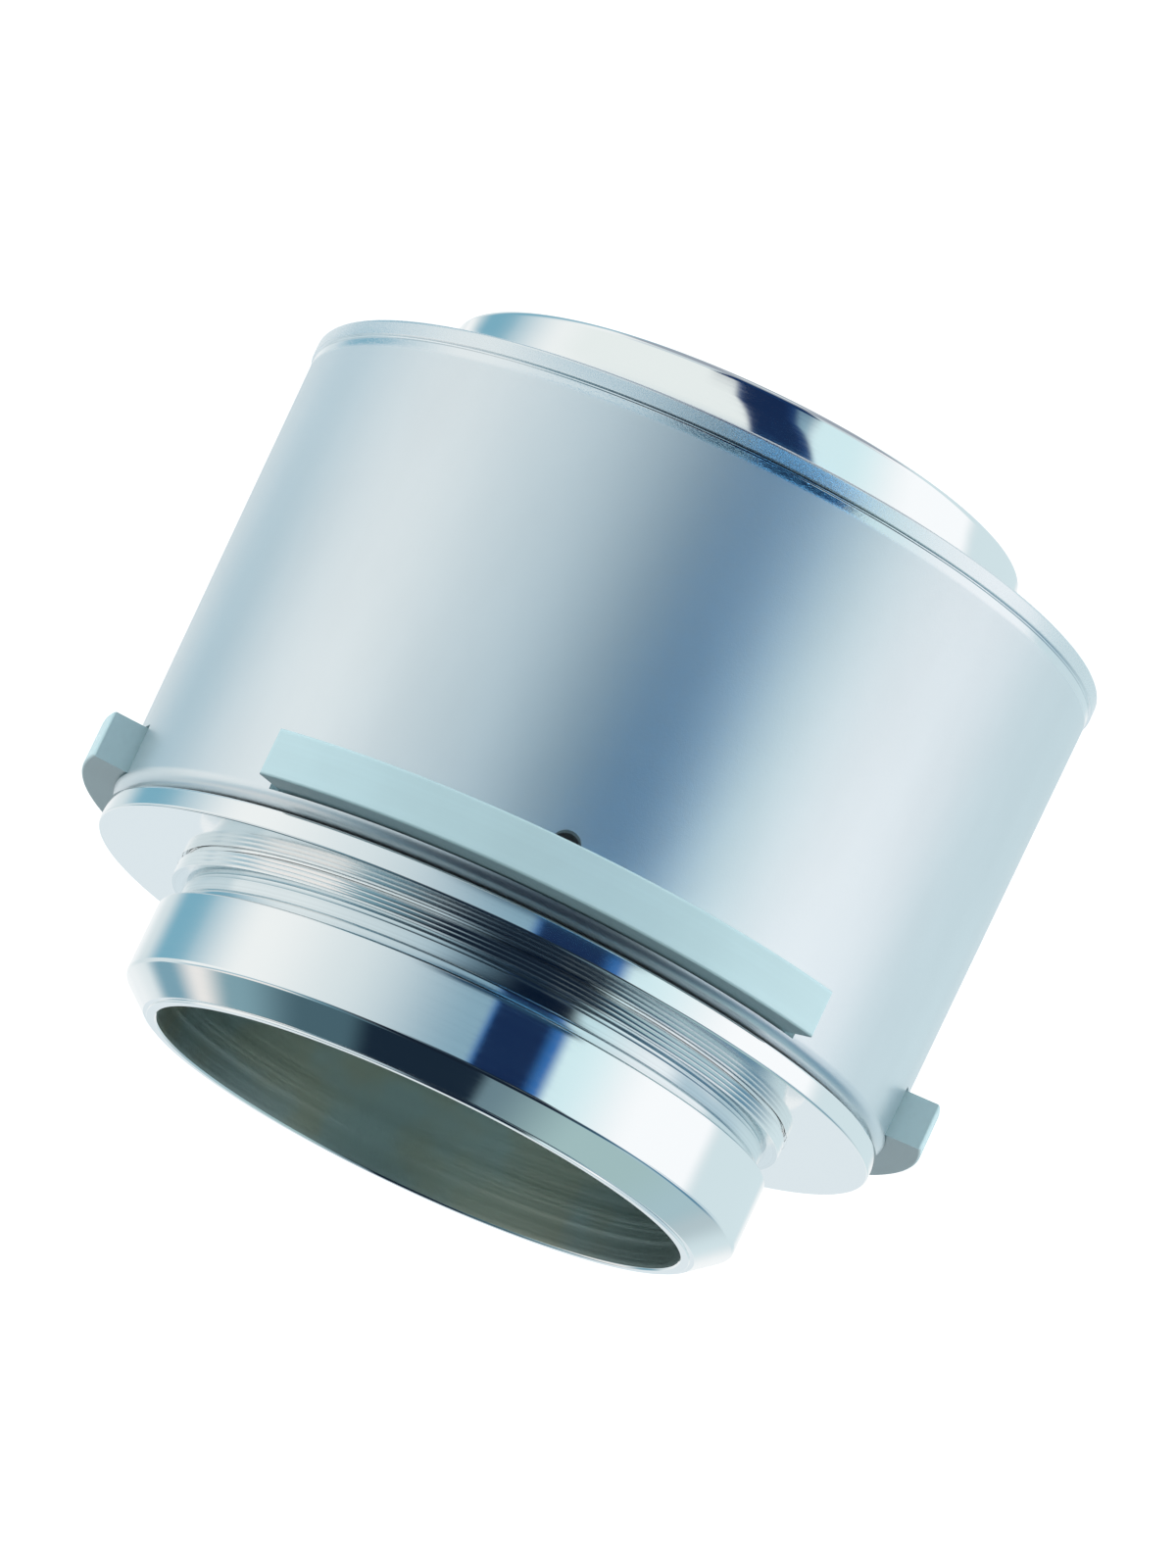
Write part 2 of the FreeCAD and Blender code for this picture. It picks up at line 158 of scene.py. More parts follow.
def spin_profile(mesh: Mesh, steps: int) -> None:
    """Turns the profile once round the flow axis into a closed skin.

    Args:
        mesh: Mesh that holds the profile.
        steps: Number of facets round the axis.
    """
    profile = mesh.verts[:] + mesh.edges[:]
    centre, axis = (0, 0, 0), (0, 0, 1)
    bmesh.ops.spin(
        mesh, geom=profile, cent=centre, axis=axis, angle=FULL_TURN, steps=steps, use_merge=True
    )
    bmesh.ops.remove_doubles(mesh, verts=mesh.verts[:], dist=SMALLEST_EDGE)
    bmesh.ops.recalc_face_normals(mesh, faces=mesh.faces[:])


def turn_outline(corners: list[Corner], levels: Iterable[float], steps: int) -> Mesh:
    """Turns a closed outline round the flow axis, with rows of points at some heights.

    Args:
        corners: The outline's corners in order.
        levels: Heights of the rows, in millimetres.
        steps: Number of facets round the axis.

    Returns:
        The turned mesh.
    """
    mesh = bmesh.new()
    draw_profile(mesh, corners)
    for height in levels:
        cut_at_height(mesh, height)
    spin_profile(mesh, steps)
    return mesh


def reach(point: Vector) -> float:
    """Distance of a point from the flow axis, in millimetres."""
    return math.hypot(point.x, point.y) / MM


def angle_from(point: Vector, direction: float) -> float:
    """Angle of a point round the flow axis, from a direction, between -180 and 180 degrees."""
    return (math.degrees(math.atan2(point.y, point.x)) - direction + 180.0) % 360.0 - 180.0


def find_patch(
    mesh: Mesh, direction: float, half_angle: float, levels: tuple[float, float], radius: float
) -> list[bmesh.types.BMFace]:
    """Finds the faces in one patch of a turned wall.

    Args:
        mesh: Turned mesh.
        direction: Direction of the patch's middle in degrees.
        half_angle: Half its width in degrees.
        levels: Its lower and upper height, in millimetres.
        radius: Radius that its faces lie beyond, in millimetres.

    Returns:
        The faces of the patch.
    """
    patch = []
    for face in mesh.faces:
        middle = face.calc_center_median()
        level = levels[0] < middle.z / MM < levels[1]
        if level and reach(middle) > radius and abs(angle_from(middle, direction)) < half_angle:
            patch.append(face)
    return patch


# Small helpers for node trees


class NodeSheet:
    """Adds nodes to one tree and links them.

    Args:
        tree: The node tree to work on.
    """

    def __init__(self, tree: bpy.types.NodeTree) -> None:
        self.tree = tree
        self.tree.nodes.clear()

    def add(self, kind: str, inputs: dict | None = None, **settings: object) -> Node:
        """Adds a node, applies its settings and fills its inputs.

        Args:
            kind: Name of the node type.
            inputs: Values or sockets by input name or number.
            settings: Properties of the node.

        Returns:
            The new node.
        """
        node = self.tree.nodes.new(kind)
        for name, value in settings.items():
            setattr(node, name, value)
        self.fill(node, inputs or {})
        return node

    def fill(self, node: Node, inputs: dict) -> None:
        """Fills the inputs of a node.

        Args:
            node: Node to fill.
            inputs: Values or sockets by input name or number.
        """
        for key, value in inputs.items():
            if isinstance(value, Socket):
                self.tree.links.new(value, node.inputs[key])
            else:
                node.inputs[key].default_value = value

    def math(self, operation: str, *values: Socket | float) -> Socket:
        """Result of a math node on numbers or sockets."""
        node = self.add("ShaderNodeMath", dict(enumerate(values)), operation=operation)
        return node.outputs["Value"]

    def step(
        self, value: Socket, start: float, end: float, low: float = 0.0, high: float = 1.0
    ) -> Socket:
        """Soft step of a value between two limits, from a low result before it to a high one after it."""
        inputs = {"Value": value, "From Min": start, "From Max": end, "To Min": low, "To Max": high}
        return self.add("ShaderNodeMapRange", inputs, interpolation_type="SMOOTHSTEP", clamp=True).outputs[0]

    def soft_edge(self, value: Socket, middle: float, width: float) -> Socket:
        """Soft step of a value up from 0 to 1, or down from 1 to 0 where the width is negative.

        Args:
            value: Socket that holds the value.
            middle: Value in the middle of the step.
            width: Width of the step.

        Returns:
            The socket with the result.
        """
        half = abs(width) / 2
        low, high = (0.0, 1.0) if width > 0 else (1.0, 0.0)
        return self.step(value, middle - half, middle + half, low, high)

    def blend(self, share: Socket, first: Colour | Socket, second: Colour | Socket) -> Socket:
        """Mix of two colours.

        Args:
            share: Share of the second colour.
            first: First colour or socket.
            second: Second colour or socket.

        Returns:
            The socket with the mixed colour.
        """
        first, second = ((*side, 1.0) if isinstance(side, tuple) else side for side in (first, second))
        inputs = {0: share, MIX_FIRST: first, MIX_SECOND: second}
        return self.add("ShaderNodeMix", inputs, data_type="RGBA", clamp_factor=True).outputs[MIX_RESULT]

    def noise(self, vector: Socket, scale: float, detail: float = 2.0) -> Socket:
        """Strength of a noise at a place, whose scale is its number of blotches per metre."""
        inputs = {"Vector": vector, "Scale": scale, "Detail": detail}
        return self.add("ShaderNodeTexNoise", inputs).outputs["Fac"]

    def stretched(self, vector: Socket, scale: tuple[float, float, float]) -> Socket:
        """A place stretched along its three axes."""
        return self.add("ShaderNodeMapping", {"Vector": vector, "Scale": scale}).outputs["Vector"]

    def place(self) -> Socket:
        """Place on the object, in metres."""
        return self.add("ShaderNodeTexCoord").outputs["Object"]

    def turned_place(self) -> Socket:
        """Place as radius and height, the same all round the flow axis.

        Returns:
            The socket with the place.
        """
        split = self.add("ShaderNodeSeparateXYZ", {"Vector": self.place()})
        across = self.math("POWER", split.outputs["X"], 2.0)
        along = self.math("POWER", split.outputs["Y"], 2.0)
        radius = self.math("SQRT", self.math("ADD", across, along))
        joined = self.add("ShaderNodeCombineXYZ", {"X": radius, "Z": split.outputs["Z"]})
        return joined.outputs["Vector"]

    def bump(self, height: Socket, distance: float) -> Socket:
        """Normal that follows a relief with a depth in metres."""
        inputs = {"Height": height, "Distance": distance, "Strength": 1.0}
        return self.add("ShaderNodeBump", inputs).outputs["Normal"]


# Finishes


@dataclass(frozen=True)
class Finish:
    """A procedural surface finish.

    Args:
        name: Name of the material.
        colour: Linear base colour.
        roughness: Roughness of the plain surface.
    """

    name: str
    colour: Colour
    roughness: float

    def shade(self, strength: float) -> Colour:
        """The base colour, darker or lighter."""
        return tuple(share * strength for share in self.colour)

    def make(self) -> bpy.types.Material:
        """Builds the material.

        Returns:
            The new material.
        """
        material = bpy.data.materials.new(self.name)
        material.use_nodes = True
        material.diffuse_color = (*self.colour, 1.0)
        sheet = NodeSheet(material.node_tree)
        shader = sheet.add("ShaderNodeBsdfPrincipled", {"Roughness": self.roughness})
        self.dress(sheet, shader)
        sheet.add("ShaderNodeOutputMaterial", {"Surface": shader.outputs["BSDF"]})
        return material

    def dress(self, sheet: NodeSheet, shader: Node) -> None:
        """Fills the inputs of the material's shader; each finish has its own way."""
        raise NotImplementedError


@dataclass(frozen=True)
class PolishedPlate(Finish):
    """Bright plated metal with the fine lines of turning.

    Args:
        line_depth: Depth of the turning lines, in metres.
    """

    line_depth: float = 2.0e-7

    def dress(self, sheet: NodeSheet, shader: Node) -> None:
        """Adds ring-shaped lines and slight clouds to a mirror-like metal.

        Args:
            sheet: The material's nodes.
            shader: Its shader.
        """
        turned = sheet.turned_place()
        lines = sheet.noise(turned, 9000.0, detail=1.0)
        clouds = sheet.noise(sheet.place(), 60.0, detail=3.0)
        tint = sheet.step(clouds, 0.3, 0.7, 0.97, 1.0)
        colour = sheet.blend(tint, self.shade(0.97), self.colour)
        rough = sheet.step(sheet.noise(turned, 2500.0), 0.3, 0.7, self.roughness * 0.8, self.roughness * 1.25)
        normal = sheet.bump(lines, self.line_depth)
        sheet.fill(shader, {"Base Color": colour, "Roughness": rough, "Normal": normal, "Metallic": 1.0})


@dataclass(frozen=True)
class MachinedBore(Finish):
    """Unpolished bore with the tool's spiral marks and warmer stains.

    Args:
        stain: Linear colour of the stains.
        stain_share: Strongest share of that colour.
        mark_depth: Depth of the tool's marks, in metres.
    """

    stain: Colour = (0.70, 0.64, 0.46)
    stain_share: float = 0.55
    mark_depth: float = 3.0e-6

    def dress(self, sheet: NodeSheet, shader: Node) -> None:
        """Adds coarse turning marks that vary slowly along the bore.

        Args:
            sheet: The material's nodes.
            shader: Its shader.
        """
        turned = sheet.turned_place()
        marks = sheet.noise(turned, 1600.0, detail=3.0)
        bands = sheet.noise(turned, 90.0, detail=2.0)
        colour = sheet.blend(sheet.step(bands, 0.35, 0.65), self.shade(0.78), self.colour)
        clouds = sheet.noise(sheet.place(), 48.0, detail=3.0)
        colour = sheet.blend(sheet.step(clouds, 0.46, 0.62, 0.0, self.stain_share), colour, self.stain)
        rough = sheet.step(marks, 0.3, 0.7, self.roughness * 0.8, self.roughness * 1.2)
        normal = sheet.bump(marks, self.mark_depth)
        sheet.fill(shader, {"Base Color": colour, "Roughness": rough, "Normal": normal, "Metallic": 1.0})


@dataclass(frozen=True)
class TurnedNeck(Finish):
    """Plated neck that still shows the tool's fine rings. Its colour is darker and bluer than the bright
    plate, which is painted shade of the recessed neck.

    Args:
        ring_depth: Depth of the rings, in metres.
    """

    ring_depth: float = 0.7e-6

    def dress(self, sheet: NodeSheet, shader: Node) -> None:
        """Adds rings of uneven depth and a duller plate.

        Args:
            sheet: The material's nodes.
            shader: Its shader.
        """
        turned = sheet.turned_place()
        rings = sheet.noise(turned, 5200.0, detail=2.0)
        dull = sheet.step(sheet.noise(turned, 2300.0), 0.35, 0.65)
        # The base colour is painted shade: darker and bluer than the bright plate. The noise only varies it a
        # little.
        colour = sheet.blend(dull, self.shade(0.93), self.colour)
        rough = sheet.step(rings, 0.3, 0.7, self.roughness * 0.8, self.roughness * 1.2)
        normal = sheet.bump(rings, self.ring_depth)
        sheet.fill(shader, {"Base Color": colour, "Roughness": rough, "Normal": normal, "Metallic": 1.0})


@dataclass(frozen=True)
class SatinSteel(Finish):
    """Stainless sheet with a fine matt grain and drawn lines at the collar.

    Args:
        collar_end: Height of the collar's lower edge, in metres like all lengths here.
        edge_fade: Half the width of the change of finish there.
        line: Heights above that edge between which the rolled line fades out.
        line_polish: Share of the roughness that is left on the rolled line.
        collar_polish: Share of the roughness that is left on the collar.
        drawn: Heights between which the wall's roughness changes slowly.
        drawn_dullness: Share of the roughness at these two heights.
        grain_depth: Depth of the grain.
    """

    collar_end: float = 0.0134
    edge_fade: float = 0.0001
    line: tuple[float, float] = (0.0010, 0.0019)
    line_polish: float = 0.15
    collar_polish: float = 0.7
    drawn: tuple[float, float] = (0.014, 0.075)
    drawn_dullness: tuple[float, float] = (1.12, 0.95)
    grain_depth: float = 7.0e-6

    def dress(self, sheet: NodeSheet, shader: Node) -> None:
        """Adds grain, drawn lines on the collar and slight clouds.

        Args:
            sheet: The material's nodes.
            shader: Its shader.
        """
        place = sheet.place()
        grain = sheet.noise(place, 6500.0, detail=2.0)
        streaks = sheet.noise(sheet.turned_place(), 7000.0, detail=2.0)
        height = sheet.add("ShaderNodeSeparateXYZ", {"Vector": place}).outputs["Z"]
        collar_start, collar_stop = self.collar_end - self.edge_fade, self.collar_end + self.edge_fade
        collar = sheet.step(height, collar_start, collar_stop, 1.0, 0.0)
        coarse = sheet.noise(place, 2400.0, detail=2.0)
        relief = sheet.math("ADD", sheet.math("MULTIPLY", streaks, collar), sheet.math("ADD", grain, coarse))
        clouds = sheet.noise(sheet.stretched(place, (1.0, 1.0, 0.4)), 45.0, detail=4.0)
        colour = sheet.blend(sheet.step(clouds, 0.3, 0.7), self.shade(0.95), self.colour)
        rough = sheet.step(grain, 0.2, 0.9, self.roughness * 0.85, self.roughness * 1.25)
        line_start, line_stop = (self.collar_end + share for share in self.line)
        polish = sheet.step(height, line_start, line_stop, self.line_polish, 1.0)
        line = sheet.math("MAXIMUM", polish, sheet.math("MULTIPLY", collar, self.collar_polish))
        rough = sheet.math("MULTIPLY", rough, line)
        rough = sheet.math("MULTIPLY", rough, sheet.step(height, *self.drawn, *self.drawn_dullness))
        normal = sheet.bump(relief, self.grain_depth)
        sheet.fill(shader, {"Base Color": colour, "Roughness": rough, "Normal": normal, "Metallic": 1.0})


@dataclass(frozen=True)
class MouldedPlastic(Finish):
    """Slightly glossy moulded plastic with faint flow lines.

    Args:
        texture_depth: Depth of the moulded texture, in metres.
        refraction: Refractive index of the plastic.
        gloss: Level of its gloss, 0.5 for plain plastic.
    """

    texture_depth: float = 4.0e-6
    refraction: float = 1.7
    gloss: float = 0.8

    def dress(self, sheet: NodeSheet, shader: Node) -> None:
        """Adds faint level lines, clouds and a fine moulded texture.

        Args:
            sheet: The material's nodes.
            shader: Its shader.
        """
        place = sheet.place()
        lines = sheet.noise(sheet.turned_place(), 900.0, detail=3.0)
        clouds = sheet.noise(place, 90.0, detail=3.0)
        flow = sheet.step(sheet.math("ADD", lines, clouds), 0.7, 1.3)
        colour = sheet.blend(flow, self.shade(0.94), self.colour)
        texture = sheet.noise(place, 3000.0, detail=2.0)
        sheet.fill(shader, {"Base Color": colour, "Normal": sheet.bump(texture, self.texture_depth)})
        sheet.fill(shader, {"IOR": self.refraction, "Specular IOR Level": self.gloss})


@dataclass(frozen=True)
class SealRubber(Finish):
    """Black rubber with a dusting of lubricant."""

    def dress(self, sheet: NodeSheet, shader: Node) -> None:
        """Adds a faint pale bloom."""
        bloom = sheet.step(sheet.noise(sheet.place(), 250.0, detail=4.0), 0.45, 0.75)
        sheet.fill(shader, {"Base Color": sheet.blend(bloom, self.colour, self.shade(1.8))})


@dataclass(frozen=True)
class FinishSet:
    """Every finish on the part."""

    plate: PolishedPlate = PolishedPlate("bright_tin_plate", (0.93, 0.94, 0.94), 0.07)
    bore: MachinedBore = MachinedBore("machined_bore", (0.72, 0.84, 0.83), 0.34)
    # The neck's darker, bluer colour is painted shade of the recessed neck; its rings and roughness are the
    # tool's.
    neck: TurnedNeck = TurnedNeck("turned_tin_plate_painted_shade", (0.78, 0.84, 0.86), 0.11)
    steel: SatinSteel = SatinSteel("satin_stainless_steel", (0.86, 0.90, 0.92), 0.35)
    plastic: MouldedPlastic = MouldedPlastic("pale_blue_grey_plastic", (0.415, 0.605, 0.655), 0.36)
    rubber: SealRubber = SealRubber("black_seal_rubber", (0.012, 0.012, 0.013), 0.5)


# Pieces


class Piece:
    """Base of every modelled piece.

    Args:
        node: Node of the part that the piece stands for.
        group: Rigid body that the piece rides on.
        slot: Material slot of the piece; not used.
    """

    node: str
    group: ClassVar[Group]
    slot: ClassVar[Slot]

    @property
    def name(self) -> str:
        """Name of the object."""
        return f"{self.node}_dressed"

    def finish_mesh(self, mesh: Mesh, materials: list[bpy.types.Material]) -> bpy.types.Object:
        """Turns a mesh into a shaded object in the scene.

        Args:
            mesh: Finished mesh in metres.
            materials: Materials in the order of the faces' material numbers.

        Returns:
            The new object.
        """
        for face in mesh.faces:
            face.smooth = True
        for edge in mesh.edges:
            edge.smooth = edge.calc_face_angle(math.pi) < SHARP_ANGLE
        data = bpy.data.meshes.new(self.name)
        mesh.to_mesh(data)
        mesh.free()
        for material in materials:
            data.materials.append(material)
        piece = bpy.data.objects.new(self.name, data)
        bpy.context.scene.collection.objects.link(piece)
        shading = piece.modifiers.new("even_shading", "WEIGHTED_NORMAL")
        shading.mode = "FACE_AREA"
        shading.weight = SHADING_WEIGHT
        shading.keep_sharp = True
        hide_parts(self.node)
        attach(piece, self.group.value)
        LOG.info("%s: %d faces", self.name, len(data.polygons))
        return piece


@dataclass
class AdapterBody(Piece):
    """Turned body: nose, nozzle, hub, flange and spigot."""

    node: ClassVar[str] = "adapter_body"
    group: ClassVar[Group] = Group.FITTING
    slot: ClassVar[Slot] = Slot.BODY

    bore: float = 39.8
    mouth: float = 107.1
    mouth_bevel: float = 0.25
    nose_lead: float = 43.2
    nose: float = 44.1
    nose_crown: float = 60.0
    nose_lead_end: float = 7.0
    nose_end: float = 15.5
    nozzle_start: float = 18.5
    nozzle_end: float = 73.6
    nozzle: float = 44.7
    seal_floor: float = 41.5
    seal_groove_width: float = 5.0
    seal_heights: tuple[float, ...] = (30.3, 46.3)
    grip_floor: float = 44.2
    grip_width: float = 1.6
    grip_heights: tuple[float, ...] = (57.2, 60.4, 63.6, 66.8)
    hub: float = 46.5
    bead_floor: float = 45.3
    groove_round: float = 0.15
    bead_groove: tuple[float, float] = (75.35, 78.05)
    flange: float = 58.65
    flange_foot: float = 82.85
    flange_top: float = 85.9
    undercut: float = 46.4
    undercut_floor: float = 85.75
    root: float = 45.6
    land: float = 46.2
    band: tuple[float, float] = (86.25, 88.5)
    serration_floor: float = 45.88
    serration_heights: tuple[float, ...] = (86.725, 87.375, 88.025)
    serration_width: float = 0.62
    neck: float = 44.2
    neck_top: float = 44.0
    relief: float = 43.5
    lower_relief_end: float = 89.25
    upper_relief_start: float = 91.05
    shoulder_foot: float = 92.35
    land_start: float = 92.7
    land_end: float = 103.15
    land_edge: float = 0.8
    cone_end: float = 41.9
    lip: float = 41.25
    lip_start: float = 106.75
    bore_slack: float = 0.02
    neck_depth: float = 0.1
    level_cuts: tuple[int, ...] = tuple(range(10, 106, 12))
    steps: int = 360

    def groove(self, wall: float, floor: float, start: float, end: float) -> list[Corner]:
        """Corners of a groove that faces outwards, from its lower to its upper edge."""
        places = ((wall, start), (floor, start), (floor, end), (wall, end))
        return [Corner(radius, height, self.groove_round, 2) for radius, height in places]

    def nozzle_corners(self) -> list[Corner]:
        """Outline of the part that the sleeve hides.

        Returns:
            The corners from the nose end to the flange's foot.
        """
        corners = [
            Corner(self.bore, 0.0, 0.25, 3),
            Corner(self.nose_lead, 0.0, 1.3, 8),
            Corner(self.nose, self.nose_lead_end, self.nose_crown, 16),
            Corner(self.nose, self.nose_end, 0.3, 2),
            Corner(self.nozzle, self.nozzle_start, 0.5, 3),
        ]
        seals = (self.seal_heights, self.seal_floor, self.seal_groove_width / 2)
        grips = (self.grip_heights, self.grip_floor, self.grip_width / 2)
        for heights, floor, half in (seals, grips):
            for middle in heights:
                corners += self.groove(self.nozzle, floor, middle - half, middle + half)
        corners += [Corner(self.nozzle, self.nozzle_end), Corner(self.hub, self.bead_groove[0])]
        corners += self.groove(self.hub, self.bead_floor, *self.bead_groove)[1:]
        return corners + [Corner(self.hub, self.flange_foot, 0.2, 2)]

    def spigot_corners(self) -> list[Corner]:
        """Outline of the flange and the spigot.

        Returns:
            The corners from the flange's foot to the mouth.
        """
        corners = [
            Corner(self.flange, self.flange_foot, 0.35, 4),
            Corner(self.flange, self.flange_top, 0.35, 4),
            Corner(self.undercut, self.flange_top, 0.08, 2),
            Corner(self.undercut, self.undercut_floor),
            Corner(self.root, self.undercut_floor),
            Corner(self.root, self.band[0]),
            Corner(self.land, self.band[0], 0.1, 2),
        ]
        half = self.serration_width / 2
        for middle in self.serration_heights:
            corners += [
                Corner(self.land, middle - half, 0.02, 2),
                Corner(self.serration_floor, middle, 0.05, 2),
                Corner(self.land, middle + half, 0.02, 2),
            ]
        return corners + [
            Corner(self.land, self.band[1], 0.12, 2),
            Corner(self.relief, self.band[1], 0.15, 2),
            Corner(self.relief, self.lower_relief_end, 0.1, 2),
            Corner(self.neck, self.lower_relief_end, 0.12, 2),
            Corner(self.neck_top, self.upper_relief_start, 0.12, 2),
            Corner(self.relief, self.upper_relief_start, 0.2, 3),
            Corner(self.relief, self.shoulder_foot, 0.3, 3),
            Corner(self.land, self.land_start, 0.25, 3),
            Corner(self.land, self.land_end, self.land_edge, 6),
            Corner(self.cone_end, self.lip_start, 0.1, 2),
            Corner(self.lip, self.lip_start, 0.08, 2),
            Corner(self.lip, self.mouth, 0.12, 3),
            Corner(self.bore + self.mouth_bevel, self.mouth, 0.1, 3),
            Corner(self.bore, self.mouth - self.mouth_bevel, 0.1, 3),
        ]

    def build(self, finishes: FinishSet) -> bpy.types.Object:
        """Turns the body and sets its bore's finish apart.

        Args:
            finishes: The part's finishes.

        Returns:
            The dressed body.
        """
        outline = self.nozzle_corners() + self.spigot_corners()
        mesh = turn_outline(outline, self.level_cuts, self.steps)
        for face in mesh.faces:
            middle = face.calc_center_median()
            beside_neck = self.band[1] < middle.z / MM < self.shoulder_foot
            if reach(middle) < self.bore + self.bore_slack:
                face.material_index = BodyFinish.BORE
            # Recessed neck faces get the neck finish, whose darker, bluer colour is painted shade.
            elif beside_neck and reach(middle) < self.land - self.neck_depth:
                face.material_index = BodyFinish.NECK
        kinds = (finishes.plate, finishes.bore, finishes.neck)
        return self.finish_mesh(mesh, [kinds[place].make() for place in BodyFinish])


@dataclass
class PressSleeve(Piece):
    """Sleeve with a collar at the rim, three windows, three notches and a foot bent inwards."""

    node: ClassVar[str] = "press_sleeve"
    group: ClassVar[Group] = Group.SLEEVE
    slot: ClassVar[Slot] = Slot.SLEEVE

    rim: float = 11.0
    rim_bore: float = 57.7
    rim_round: float = 0.5
    collar: float = 60.0
    collar_end: float = 13.4
    wall_at_collar: float = 59.67
    line_depth: float = 0.12
    line_floor_end: float = 0.25
    line_end: float = 0.4
    bore: float = 56.8
    outside: float = 58.8
    foot: float = 82.5
    lip_face: float = 80.5
    lip: float = 46.85
    inside_bend: float = 0.6
    window: tuple[float, float] = (72.9, 80.4)
    window_half_angle: float = 41.5
    notch: float = 2.05
    notch_steps: int = 5
    notch_zone: float = 69.0
    level_cuts: tuple[float, ...] = (25.0, 40.0, 55.0)
    steps: int = 720

    def corners(self) -> list[Corner]:
        """Outline of the sleeve's wall.

        Returns:
            The corners from the rim's bore round the outside to the foot.
        """
        bend = self.inside_bend + self.outside - self.bore
        line = self.wall_at_collar - self.line_depth
        return [
            Corner(self.rim_bore, self.rim, self.rim_round, 4),
            Corner(self.collar, self.rim, self.rim_round, 5),
            Corner(self.collar, self.collar_end, 0.2, 3),
            Corner(line, self.collar_end, 0.1, 2),
            Corner(line, self.collar_end + self.line_floor_end, 0.1, 2),
            Corner(self.wall_at_collar, self.collar_end + self.line_end, 0.2, 2),
            Corner(self.outside, self.foot, bend, 12),
            Corner(self.lip, self.foot, 0.2, 2),
            Corner(self.lip, self.lip_face, 0.2, 2),
            Corner(self.bore, self.lip_face, self.inside_bend, 2),
        ]

    def cut_levels(self) -> list[float]:
        """Heights at which both walls get a row of points, so that the windows' edges match.

        Returns:
            The heights in the order of cutting.
        """
        low, high = self.window
        bend_start = self.lip_face - self.inside_bend
        bend_middle = bend_start + self.inside_bend * math.sin(math.pi / 4)
        return [*self.level_cuts, self.notch_zone, low, bend_start, bend_middle, high]

    def open_window(self, mesh: Mesh, direction: float) -> None:
        """Cuts one window through the wall and closes its edge.

        Args:
            mesh: Mesh of the turned sleeve.
            direction: Direction of the window's middle in degrees.
        """
        inside = self.bore - self.inside_bend
        cut = find_patch(mesh, direction, self.window_half_angle, self.window, inside)
        bmesh.ops.delete(mesh, geom=cut, context="FACES")
        rims = [edge for edge in mesh.edges if edge.is_boundary]
        self.shape_notch(rims, direction)
        bmesh.ops.bridge_loops(mesh, edges=rims)

    def shape_notch(self, rims: list[bmesh.types.BMEdge], direction: float) -> None:
        """Moves the points in the middle of a window's rim side onto the notch's half circle.

        Args:
            rims: Open edges of one window.
            direction: Direction of the window's middle in degrees.
        """
        points = {point for edge in rims for point in edge.verts}
        pitch = 360.0 / self.steps
        for point in points:
            column = round(angle_from(point.co, direction) / pitch)
            if abs(point.co.z / MM - self.window[0]) > LEVEL_SLACK or abs(column) > self.notch_steps:
                continue
            turn = math.radians(90.0) * column / self.notch_steps
            shift = math.asin(self.notch * math.sin(turn) / self.outside)
            angle = math.radians(direction) + shift
            radius = reach(point.co)
            height = self.window[0] - self.notch * math.cos(turn)
            point.co = Vector((radius * math.cos(angle), radius * math.sin(angle), height)) * MM

    def build(self, finishes: FinishSet) -> bpy.types.Object:
        """Turns the wall, opens the windows and closes their edges.

        Args:
            finishes: The part's finishes.

        Returns:
            The dressed sleeve.
        """
        mesh = turn_outline(self.corners(), self.cut_levels(), self.steps)
        for direction in LUG_DIRECTIONS:
            self.open_window(mesh, direction)
        bmesh.ops.recalc_face_normals(mesh, faces=mesh.faces[:])
        return self.finish_mesh(mesh, [finishes.steel.make()])


